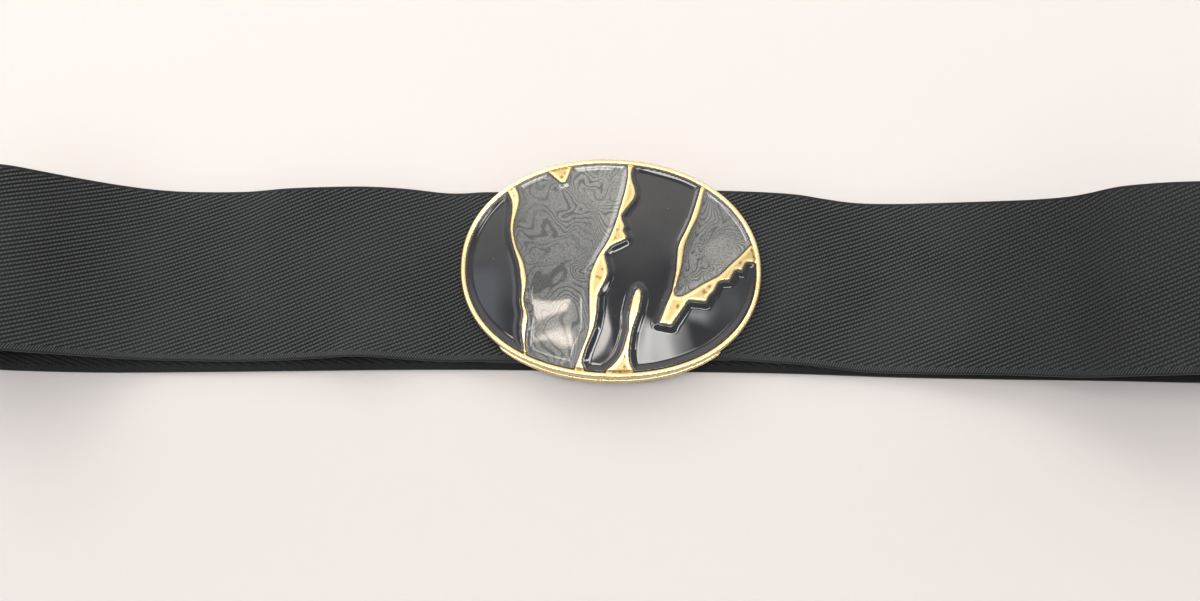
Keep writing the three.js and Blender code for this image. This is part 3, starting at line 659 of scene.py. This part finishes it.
def tube(build, points, radius, closed=False):
    """A round bar along points, with domed ends unless closed."""
    points = np.asarray(points, float)
    count = len(points)
    if closed:
        heading = np.roll(points, -1, axis=0) - np.roll(points, 1, axis=0)
    else:
        heading = np.gradient(points, axis=0)
    heading /= np.linalg.norm(heading, axis=1)[:, None]
    up = np.array([0, 0, 1.0])
    side = np.cross(heading, up)
    side /= np.linalg.norm(side, axis=1)[:, None]
    top = np.cross(side, heading)
    turn = np.linspace(0, 2 * math.pi, ROUND_SIDES, endpoint=False)
    ring = (points[:, None, :] + radius * (np.cos(turn)[None, :, None] * side[:, None, :]
                                           + np.sin(turn)[None, :, None] * top[:, None, :]))
    verts = ring.reshape(-1, 3)
    faces = grid_faces(count, ROUND_SIDES, close_rows=closed, close_cols=True, flip=True)
    build.add(verts, faces)
    if not closed:
        for end, way in ((0, -1), (count - 1, 1)):
            rings = []
            spread = np.cos(turn)[:, None] * side[end] + np.sin(turn)[:, None] * top[end]
            for k in range(1, 5):
                lean = k / 5 * math.pi / 2
                centre = points[end] + way * heading[end] * radius * math.sin(lean)
                rings.append(centre + radius * math.cos(lean) * spread)
            cap = np.vstack([ring[end], *rings])
            build.add(cap, grid_faces(5, ROUND_SIDES, close_cols=True, flip=way > 0))
            tip = points[end] + way * heading[end] * radius
            last = np.vstack([rings[-1], tip])
            k = np.arange(ROUND_SIDES)
            fan = np.stack([k, (k + 1) % ROUND_SIDES, np.full(ROUND_SIDES, ROUND_SIDES)], axis=1)
            build.add(last, fan if way > 0 else fan[:, ::-1])


def soft_box(build, xs, ys, zs):
    """A plate with its edges broken by a small chamfer."""
    lo, hi = np.array([xs, ys, zs], float).T
    verts, index = [], {}
    for corner in range(8):
        signs = [(corner >> axis) & 1 for axis in range(3)]
        for axis in range(3):
            p = [hi[a] - BOX_CHAMFER if signs[a] else lo[a] + BOX_CHAMFER for a in range(3)]
            p[axis] = hi[axis] if signs[axis] else lo[axis]
            index[(tuple(signs), axis)] = len(verts)
            verts.append(p)
    mid = (lo + hi) / 2
    verts = np.array(verts)
    faces4, faces3 = [], []

    def facing(ids):
        pts = verts[ids]
        normal = np.cross(pts[1] - pts[0], pts[2] - pts[0])
        return ids if normal @ (pts.mean(axis=0) - mid) > 0 else ids[::-1]

    for axis in range(3):
        a, b = [k for k in range(3) if k != axis]
        for end in (0, 1):
            ids = []
            for sa, sb in ((0, 0), (1, 0), (1, 1), (0, 1)):
                signs = [0, 0, 0]
                signs[axis], signs[a], signs[b] = end, sa, sb
                ids.append(index[(tuple(signs), axis)])
            faces4.append(facing(ids))
        for sa in (0, 1):
            for sb in (0, 1):
                low, high = [0, 0, 0], [0, 0, 0]
                low[axis], high[axis] = 0, 1
                low[a] = high[a] = sa
                low[b] = high[b] = sb
                corners = ((low, a), (high, a), (high, b), (low, b))
                faces4.append(facing([index[(tuple(signs), way)] for signs, way in corners]))
    for corner in range(8):
        signs = tuple((corner >> axis) & 1 for axis in range(3))
        faces3.append(facing([index[(signs, axis)] for axis in range(3)]))
    build.add(verts, faces4)
    build.add(verts, faces3)


def hardware(build):
    """The strap bar, its posts and the clasp hook on the hollow back."""
    half = BUCKLE_HALF_HEIGHT * (1 - (BAR_OFFSET / BUCKLE_HALF_LENGTH) ** OVAL_POWER) ** (1 / OVAL_POWER)
    inner = half - SKIRT_INSET - SKIRT_WALL
    tube(build, [(-BAR_OFFSET, y, BAR_CENTRE) for y in np.linspace(-inner, inner, 9)], WIRE_RADIUS)
    post_xs = (-BAR_OFFSET - POST_THICKNESS / 2, -BAR_OFFSET + POST_THICKNESS / 2)
    for side in (-1, 1):
        ys = sorted((side * (inner - POST_SINK), side * (inner + POST_REACH)))
        top = PLATE_UNDERSIDE + POST_SINK - half * half / (2 * CROWN_ACROSS)
        soft_box(build, post_xs, ys, (BAR_CENTRE - WIRE_RADIUS, top))
    hook_ys = (-HOOK_HALF_WIDTH, HOOK_HALF_WIDTH)
    post_zs = (HOOK_LIP_BASE, PLATE_UNDERSIDE + HOOK_SINK)
    soft_box(build, (HOOK_POST_NEAR, HOOK_POST_FAR), hook_ys, post_zs)
    soft_box(build, (-HOOK_LIP_REACH, HOOK_POST_FAR), hook_ys, (HOOK_LIP_BASE, HOOK_LIP_TOP))


def ring_object():
    build = Builder()
    corner = RING_CORNER
    near, far, side = corner, BAR_OFFSET - corner, RING_HALF_SPAN - corner
    points = []
    for quarter, (x, y) in enumerate(((far, side), (near, side), (near, -side), (far, -side))):
        for k in range(7):
            lean = math.radians(quarter * 90 + k * 15)
            points.append((x + corner * math.cos(lean), y + corner * math.sin(lean), BAR_CENTRE))
    full = []
    for a, b in zip(points, points[1:] + points[:1]):
        a, b = np.array(a), np.array(b)
        pieces = max(1, int(np.linalg.norm(b - a) / 3))
        for k in range(pieces):
            full.append(a + (b - a) * k / pieces)
    tube(build, full, WIRE_RADIUS, closed=True)
    return build.object("clasp_ring_wire")


ENAMEL_PITCH = 0.36
GRID_MARGIN = 1.2
ENAMEL_LEVEL = 0.85
ENAMEL_DEPTH = 1.45
ENAMEL_REACH = 0.42
ENAMEL_WAVES = 0.04
MENISCUS_SLOPE = 0.42
MENISCUS_EASE = 0.6
MENISCUS_WIDTH = 2.1


def enamel_object(name, seed):
    build = Builder()
    low, high = (np.array(corner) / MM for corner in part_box(name))
    xs, ys = (np.arange(low[k] - GRID_MARGIN, high[k] + GRID_MARGIN, ENAMEL_PITCH) for k in (0, 1))
    gx, gy = np.meshgrid(xs, ys, indexing="ij")
    d = cell_distances(gx, gy)[name]
    inside = np.clip(-d, 0, None)
    # the fill climbs to its wall at a slope that soon stays the same
    run = np.clip(MENISCUS_WIDTH - inside, 0, None)
    climb = MENISCUS_SLOPE * (run - MENISCUS_EASE * (1 - np.exp(-run / MENISCUS_EASE)))
    level = ENAMEL_LEVEL - climb
    level -= ENAMEL_WAVES * waves(gx, gy, seed, 16.0, 5) * unit(1 - climb / 0.5)
    level += np.clip(d, 0, None) * 1.2
    top = crown(gx, gy) - level
    bottom = crown(gx, gy) - ENAMEL_DEPTH
    # seam rises to 1 at the wall, where the grey fills are given painted shade
    slab_from_grid(build, xs, ys, d < ENAMEL_REACH, top, bottom, unit(1 - inside / 0.6))
    return build.object(name + "_fill")


# Materials
class Nodes:
    """Builds the shader nodes of a new material, or of the world when it is given."""

    def __init__(self, name, world=None):
        self.material = world or bpy.data.materials.new(name)
        self.material.use_nodes = True
        self.tree = self.material.node_tree
        self.shader = self.tree.nodes["Background" if world else "Principled BSDF"]

    def new(self, kind, **settings):
        node = self.tree.nodes.new(kind)
        inputs = settings.pop("inputs", {})
        for key, value in settings.items():
            setattr(node, key, value)
        for key, value in inputs.items():
            self.feed(node.inputs[key], value)
        return node

    def link(self, a, b):
        self.tree.links.new(a, b)

    def feed(self, socket, value):
        """Links a node's output to the socket, or sets the socket to a plain value."""
        if isinstance(value, bpy.types.NodeSocket):
            self.link(value, socket)
        else:
            socket.default_value = value

    def math(self, operation, a, b=0.0, c=None, clamp=False):
        node = self.new("ShaderNodeMath", operation=operation, use_clamp=clamp)
        for k, value in enumerate((a, b, c)):
            if value is not None:
                self.feed(node.inputs[k], value)
        return node.outputs[0]

    def times(self, a, b, clamp=False):
        return self.math("MULTIPLY", a, b, clamp=clamp)

    def plus(self, a, b):
        return self.math("ADD", a, b)

    def xyz(self, vector):
        return self.new("ShaderNodeSeparateXYZ", inputs={0: vector}).outputs

    def dots(self, vector, scale):
        """The distance to the nearest of many scattered points."""
        return self.new("ShaderNodeTexVoronoi", inputs={"Vector": vector, "Scale": scale}).outputs[0]

    def mix(self, factor, a, b):
        node = self.new("ShaderNodeMix", data_type="RGBA")
        for key, value in ((0, factor), (6, a), (7, b)):
            self.feed(node.inputs[key], value)
        return node.outputs[2]

    def coords(self, kind="Object"):
        return self.new("ShaderNodeTexCoord").outputs[kind]

    def seam(self):
        return self.new("ShaderNodeAttribute", attribute_name="seam").outputs["Fac"]

    def fade(self, value, start, end, low=0.0, high=1.0):
        """A smooth step from low at start to high at end."""
        return self.new("ShaderNodeMapRange", interpolation_type="SMOOTHSTEP",
                        inputs={0: value, 1: start, 2: end, 3: low, 4: high}).outputs[0]

    def scaled(self, vector, amount):
        inputs = {0: vector, "Scale": amount}
        return self.new("ShaderNodeVectorMath", operation="SCALE", inputs=inputs).outputs[0]

    def added(self, a, b):
        return self.new("ShaderNodeVectorMath", operation="ADD", inputs={0: a, 1: b}).outputs[0]

    def noise(self, vector, scale, detail=2.0, rough=0.5):
        inputs = {"Vector": vector, "Scale": scale, "Detail": detail, "Roughness": rough}
        return self.new("ShaderNodeTexNoise", inputs=inputs).outputs

    def ramp(self, factor, stops):
        node = self.new("ShaderNodeValToRGB")
        self.link(factor, node.inputs[0])
        elements = node.color_ramp.elements
        elements.remove(elements[1])
        elements[0].position = stops[0][0]
        elements[0].color = (*stops[0][1], 1)
        for place, value in stops[1:]:
            elements.new(place).color = (*value, 1)
        return node.outputs[0]

    def bump(self, height, strength, distance, normal=None):
        inputs = {"Strength": strength, "Distance": distance, "Height": height}
        if normal is not None:
            inputs["Normal"] = normal
        return self.new("ShaderNodeBump", inputs=inputs).outputs[0]

    def set(self, **values):
        """Each name is an input of the shader, with _ for a space."""
        for key, value in values.items():
            self.feed(self.shader.inputs[key.replace("_", " ")], value)


def gold_material(name, base, roughness):
    n = Nodes(name)
    spot = n.coords()
    broad = n.noise(spot, 160.0)[0]
    fine = n.noise(spot, 1500.0, 3.0, 0.6)[0]
    deep = (base[0] * 0.95, base[1] * 0.9, base[2] * 0.78)
    wide = n.times(n.seam(), -1.0, clamp=True)
    polished = n.ramp(broad, [(0.35, deep), (0.65, base)])
    tint = n.mix(n.times(wide, 0.85), polished, (0.45, 0.325, 0.138, 1))
    rough = n.math("MULTIPLY_ADD", fine, 0.12, roughness - 0.06)
    rough = n.plus(rough, n.times(wide, 0.22))
    pits = n.noise(spot, 520.0)[0]
    height = n.plus(pits, n.times(fine, 0.25))
    spots = n.dots(spot, 480.0)
    pit = n.times(n.fade(spots, 0.36, 0.14), wide)
    # painted shade: the gold turns dark brown where seam is above 0, along the walls of the cells and in the
    # rim's groove; the pits on the wide places are darker too
    edge_shade_and_pits = n.math("MAXIMUM", n.times(n.seam(), 0.95, clamp=True), n.times(pit, 0.6))
    brown = n.mix(edge_shade_and_pits, tint, (0.11, 0.065, 0.03, 1))
    dented = n.bump(n.times(pit, -1.0), 0.8, 0.00012)
    n.set(Base_Color=brown, Metallic=1.0, Roughness=rough, Normal=n.bump(height, 0.12, 0.00005, dented))
    return n.material


def black_enamel(name):
    n = Nodes(name)
    spot = n.coords()
    haze = n.noise(spot, 90.0, 3.0)[0]
    colour = n.ramp(haze, [(0.3, (0.013, 0.014, 0.017)), (0.75, (0.022, 0.022, 0.023))])
    dust = n.dots(spot, 420.0)
    seen = n.fade(n.noise(spot, 120.0, 1.0)[0], 0.56, 0.64)
    fleck = n.times(n.fade(dust, 0.09, 0.04), seen)
    shade = n.mix(fleck, colour, (0.16, 0.16, 0.16, 1))
    rough = n.math("MULTIPLY_ADD", n.noise(spot, 260.0, 3.0)[0], 0.05, 0.02)
    n.set(Base_Color=shade, Roughness=rough, IOR=1.55,
          Normal=n.bump(n.noise(spot, 700.0, 1.0)[0], 0.05, 0.00002))
    return n.material


def grey_enamel(name):
    n = Nodes(name)
    spot = n.coords()
    centre = (-0.5, -0.5, -0.5)
    slow = n.scaled(n.added(n.noise(spot, 62.0, 1.0)[1], centre), 0.020)
    once = n.added(spot, slow)
    quick = n.scaled(n.added(n.noise(once, 105.0, 1.0)[1], centre), 0.0095)
    twice = n.added(once, quick)
    folds = n.noise(twice, 44.0, 1.0, 0.4)[0]
    # bundles of dark contour lines along the folds of the pigment
    turns = n.times(folds, 2 * math.pi * 35.0)
    line = n.fade(n.math("COSINE", turns), 0.15, 0.95)
    bundle = n.fade(n.math("ABSOLUTE", n.math("SUBTRACT", n.noise(twice, 48.0, 1.0)[0], 0.5)), 0.25, 0.12)
    patchy = n.fade(n.noise(once, 80.0, 1.0)[0], 0.34, 0.5)
    lines = n.times(line, n.times(bundle, n.math("MULTIPLY_ADD", patchy, 0.5, 0.5)))
    broad = n.fade(folds, 0.38, 0.62)
    pale, dim, dark = (0.150, 0.152, 0.143, 1), (0.108, 0.111, 0.108, 1), (0.026, 0.028, 0.030, 1)
    along = n.xyz(spot)[0]
    # the grey centre cell is darker towards its left end
    base = n.scaled(n.mix(broad, dim, pale), n.fade(along, -0.027, -0.012, 0.78, 1.0))
    marbled = n.mix(n.times(lines, 0.8), base, dark)
    grain = n.noise(spot, 2600.0, 2.0, 0.7)[0]
    speck = n.scaled(marbled, n.fade(grain, 0.36, 0.60, 0.68, 1.45))
    flake = n.dots(spot, 700.0)
    some = n.fade(n.noise(spot, 260.0, 1.0)[0], 0.54, 0.62)
    pit = n.times(n.fade(flake, 0.20, 0.12), some)
    worn = n.mix(pit, speck, (0.03, 0.03, 0.032, 1))
    # painted shade: a dark line round each grey cell, where the fill meets its wall
    edge_shaded = n.mix(n.times(n.seam(), 0.8), worn, (0.02, 0.02, 0.02, 1))
    n.set(Base_Color=edge_shaded, Roughness=0.32, Metallic=0.1, IOR=1.3, Normal=n.bump(grain, 0.05, 0.00003),
          Coat_Weight=1.0, Coat_Roughness=0.025, Coat_IOR=1.5)
    return n.material


# The weave's pattern, lengths in millimetres.
BEAD_LENGTH = 0.85
DASH_LENGTH = 2.3
TICK_LENGTH = 0.75
NEAR_BORDER = 0.5


def elastic_material(name):
    n = Nodes(name)
    strip = n.new("ShaderNodeUVMap", uv_map="strip").outputs[0]
    ribs = n.new("ShaderNodeUVMap", uv_map="ribs").outputs[0]
    along, across = n.xyz(strip)[:2]
    passed = n.xyz(ribs)[0]
    spot = n.coords()
    place_x, _, place_z = n.xyz(spot)
    facing = n.xyz(n.coords("Normal"))[2]

    def cosine(turns):
        """0 to 1, highest at whole turns."""
        return n.math("MULTIPLY_ADD", n.math("COSINE", n.times(turns, 2 * math.pi)), 0.5, 0.5)

    # rib wave: 0 in the valleys, 1 on the tops
    wave = n.fade(cosine(n.math("SUBTRACT", passed, 0.5)), 0.08, 0.92)
    rib_number = n.math("FLOOR", passed)
    uneven = n.noise(spot, 1100.0, 2.0, 0.6)[0]
    broad = n.noise(spot, 34.0, 3.0)[0]
    # beads of yarn along each rib, staggered from rib to rib
    beads = n.plus(n.times(along, 1000.0 / BEAD_LENGTH), n.times(rib_number, 0.37))
    beads = n.plus(beads, n.times(n.noise(spot, 420.0, 1.0)[0], 1.6))
    beaded = n.math("MULTIPLY_ADD", n.fade(cosine(beads), 0.05, 0.6), 0.48, 0.52)
    # round the right fold the valleys break into staggered dashes
    dashes = n.plus(n.times(along, 1000.0 / DASH_LENGTH), n.times(rib_number, 0.5))
    filled = n.times(n.fade(cosine(dashes), 0.45, 0.95), n.fade(place_x, 0.098, 0.125))
    valley = n.times(n.math("SUBTRACT", 1.0, wave), n.times(filled, 0.34))
    woven = n.plus(n.times(wave, beaded), valley)

    half = BAND_WIDTH / 2 * MM
    near = n.plus(across, half)
    far = n.math("SUBTRACT", half, across)
    tick_turns = n.plus(n.times(along, 1000.0 / TICK_LENGTH), n.times(across, 900.0))
    ticks = n.times(n.fade(cosine(tick_turns), 0.3, 0.7), 0.85)
    on_ticks = n.math("LESS_THAN", near, NEAR_SELVEDGE * MM)
    near_border = n.math("LESS_THAN", near, NEAR_BORDER * MM)
    on_border = n.math("MAXIMUM", near_border, n.math("LESS_THAN", far, FAR_SELVEDGE * MM))
    pattern = n.mix(on_border, n.mix(on_ticks, woven, ticks), (0.34, 0.34, 0.34, 1))
    level = n.times(pattern, n.math("MULTIPLY_ADD", uneven, 0.6, 0.7))
    # the weave's colour: the near black of the rib valleys is painted shade
    colour = n.ramp(level, [(0.05, (0.0019, 0.0024, 0.0029)), (0.45, (0.0170, 0.0188, 0.0198)),
                            (0.92, (0.058, 0.0625, 0.0645))])
    shade = n.mix(n.fade(broad, 0.38, 0.66), colour, n.mix(0.14, colour, (0.05, 0.053, 0.054, 1)))
    threads = n.plus(pattern, n.times(n.noise(spot, 2500.0)[0], 0.25))
    # painted shade: the strip darkens towards its right end, where it rises into the fold
    shade = n.scaled(shade, n.fade(place_x, 0.085, 0.125, 1.0, 0.66))
    # the upper face of the lower layer is in deep shade between the layers
    between = n.times(n.fade(facing, 0.0, 0.4), n.fade(place_z, 0.0026, 0.0018))
    shade = n.scaled(shade, n.math("MULTIPLY_ADD", between, -0.72, 1.0))
    n.set(Base_Color=shade, Roughness=0.85, Normal=n.bump(threads, 0.8, 0.0002),
          Sheen_Weight=0.1, Sheen_Roughness=0.45, Specular_IOR_Level=0.3)
    return n.material


def floor_material():
    n = Nodes("paper_floor")
    spot = n.coords()
    cloud = n.noise(spot, 2.2)[0]
    colour = n.ramp(cloud, [(0.3, (0.588, 0.557, 0.543)), (0.7, (0.617, 0.58, 0.553))])
    near = n.xyz(spot)[1]
    # painted shade: the floor is darker towards the near side
    colour = n.scaled(colour, n.fade(near, -0.07, 0.05, 0.9, 1.0))
    n.set(Base_Color=colour, Roughness=0.75, Normal=n.bump(n.noise(spot, 900.0, 3.0)[0], 0.05, 0.0002))
    return n.material


# Pieces
def place(obj, material, node):
    """The piece stands for the node, which it hides, and takes the given material."""
    obj.data.materials.append(material)
    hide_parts(node)
    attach(obj, "root")


gold = gold_material("gold_plate", (0.79, 0.635, 0.355), 0.28)
wire = gold_material("plain_gold_wire", (0.80, 0.67, 0.39), 0.3)
black = black_enamel("black_enamel")
grey = grey_enamel("grey_pearl_enamel")

place(strip_object(), elastic_material("black_woven_elastic"), "elastic_band")
place(casting_object(), gold, "buckle_casting")
place(ring_object(), wire, "clasp_ring")
# The fills: node, material and the seed of its slow waves.
FILLS = [
    ("enamel_black_left", black, 3),
    ("enamel_grey_centre", grey, 4),
    ("enamel_black_centre", black, 6),
    ("enamel_grey_right", grey, 8),
]
for fill, enamel, seed in FILLS:
    place(enamel_object(fill, seed), enamel, fill)

# Floor, camera, light
FLOOR_REACH = 3
FLOOR_DROP = 0.0002
floor_mesh = bpy.data.meshes.new("floor")
floor_corners = [(x * FLOOR_REACH, y * FLOOR_REACH, 0) for x, y in ((-1, -1), (1, -1), (1, 1), (-1, 1))]
floor_mesh.from_pydata(floor_corners, [], [(0, 1, 2, 3)])
floor = bpy.data.objects.new("floor", floor_mesh)
floor.location.z = -FLOOR_DROP
into_scene(floor)
floor.data.materials.append(floor_material())

TILT = math.radians(13.0)
ROLL = math.radians(1.0)
DISTANCE = 0.285
TARGET = Vector((-0.003, -0.0086, 0.004))
SENSOR_WIDTH = 36
FOCAL_PIXELS = 983
FRAME_PIXELS = 1200
forward = Vector((0, math.sin(TILT), -math.cos(TILT)))
right = Vector((1, 0, 0))
up = right.cross(forward)
right_rolled = right * math.cos(ROLL) + up * math.sin(ROLL)
up_rolled = up * math.cos(ROLL) - right * math.sin(ROLL)
camera_data = bpy.data.cameras.new("camera")
camera_data.sensor_width = SENSOR_WIDTH
camera_data.lens = FOCAL_PIXELS / FRAME_PIXELS * SENSOR_WIDTH
camera_data.clip_start = 0.01
camera = bpy.data.objects.new("camera", camera_data)
turned = Matrix((right_rolled, up_rolled, -forward)).transposed().to_4x4()
camera.matrix_world = Matrix.Translation(TARGET - forward * DISTANCE) @ turned
into_scene(camera)
bpy.context.scene.camera = camera


KEY_LEAN_X = -38
KEY_LEAN_Y = 50
KEY_DISTANCE = 1.1
KEY_SIZE = 0.5
KEY_ENERGY = 2.8
KEY_COLOUR = (1.0, 0.985, 0.96)


def key_light():
    """The soft main light, leaned in degrees from straight above towards +X and +Y."""
    data = bpy.data.lights.new("key", "AREA")
    data.shape = "RECTANGLE"
    data.size = data.size_y = KEY_SIZE
    data.energy = KEY_ENERGY
    data.color = KEY_COLOUR
    light = bpy.data.objects.new("key", data)
    lean_x, lean_y = math.radians(KEY_LEAN_X), math.radians(KEY_LEAN_Y)
    way = Vector((math.tan(lean_x), math.tan(lean_y), 1)).normalized()
    light.location = way * KEY_DISTANCE
    light.rotation_mode = "QUATERNION"
    light.rotation_quaternion = (-way).to_track_quat("-Z", "Y")
    into_scene(light)


SKY_STRENGTH = 1.35
# Lit panels overhead: left, right, low, high and soft edge as leans in degrees, strength, colour, and
# for some a dark bar: slope, offset, half width.
LIT_PANELS = [
    (-18.8, -8.2, -0.6, 8.0, 0.6, 14.0, (1.0, 0.88, 0.76), (0.24, 0.094, 0.030)),
    (-3.0, 0.4, -3.0, 10.0, 0.6, 13.0, (1.0, 0.93, 0.9), (1.6, -0.02, 0.03)),
    (6.0, 9.0, -5.0, 5.0, 1.0, 3.0, (1.0, 0.96, 0.93)),
    (7.0, 16.5, -5.0, 3.0, 2.5, 11.0, (1.0, 0.97, 0.95)),
    (17.5, 23.5, 4.5, 7.5, 2.0, 5.0, (0.95, 0.98, 1.0)),
    (22.0, 32.0, 6.0, 13.0, 4.0, 0.8, (0.9, 0.95, 1.0)),
    (-52.0, -23.0, -10.0, 16.0, 4.0, 1.3, (0.92, 0.97, 1.12)),
    (-42.0, 36.0, 18.0, 42.0, 6.0, 0.65, (1.0, 0.95, 0.85)),
    (-42.0, 36.0, -9.5, -4.5, 0.8, 13.0, (1.0, 0.98, 0.96)),
]
# The sky's brightness from the near side, 0, to the far side, 1.
SKY_STOPS = [
    (0.0, (0.40, 0.41, 0.43)), (0.25, (0.30, 0.31, 0.33)), (0.42, (0.25, 0.265, 0.285)),
    (0.51, (0.25, 0.26, 0.27)), (0.57, (0.31, 0.315, 0.32)), (0.63, (0.45, 0.445, 0.44)),
    (0.69, (0.64, 0.62, 0.60)), (0.76, (0.84, 0.80, 0.76)), (0.84, (0.95, 0.90, 0.84)),
    (0.93, (0.90, 0.86, 0.81)), (1.0, (0.70, 0.67, 0.64)),
]


def studio_world():
    """The light of the room: bright towards +Y, dim overhead, with soft patches like lit panels."""
    world = bpy.data.worlds.new("studio")
    bpy.context.scene.world = world
    n = Nodes("studio", world)
    x, y, z = n.xyz(n.coords("Generated"))
    sky = n.ramp(n.math("MULTIPLY_ADD", y, 0.5, 0.5), SKY_STOPS)
    side = n.plus(n.fade(x, -0.3, -0.65, 1.0, 1.5), n.fade(x, 0.45, 0.8, 0.0, 0.25))
    light = n.scaled(sky, n.times(side, SKY_STRENGTH))
    above = n.math("GREATER_THAN", z, 0.1)
    flat = n.math("MAXIMUM", z, 0.1)
    u, v = n.math("DIVIDE", x, flat), n.math("DIVIDE", y, flat)
    for left, right, low, high, soft, strength, colour, *bars in LIT_PANELS:
        leans = (left, right, low, high, soft)
        left, right, low, high, soft = [math.tan(math.radians(lean)) for lean in leans]
        wide = n.times(n.fade(u, left - soft, left + soft), n.fade(u, right + soft, right - soft))
        tall = n.times(n.fade(v, low - soft, low + soft), n.fade(v, high + soft, high - soft))
        lit = n.times(n.times(wide, tall), above)
        for slope, offset, half in bars:
            away = n.math("ABSOLUTE", n.math("SUBTRACT", n.math("MULTIPLY_ADD", u, -slope, v), offset))
            lit = n.times(lit, n.fade(away, half * 0.5, half * 1.5, 0.12, 1.0))
        tint = n.new("ShaderNodeCombineXYZ", inputs=dict(enumerate(colour))).outputs[0]
        light = n.added(light, n.scaled(tint, n.times(lit, strength)))
    n.link(light, n.shader.inputs[0])


key_light()
studio_world()
bpy.context.scene.view_settings.view_transform = "Standard"
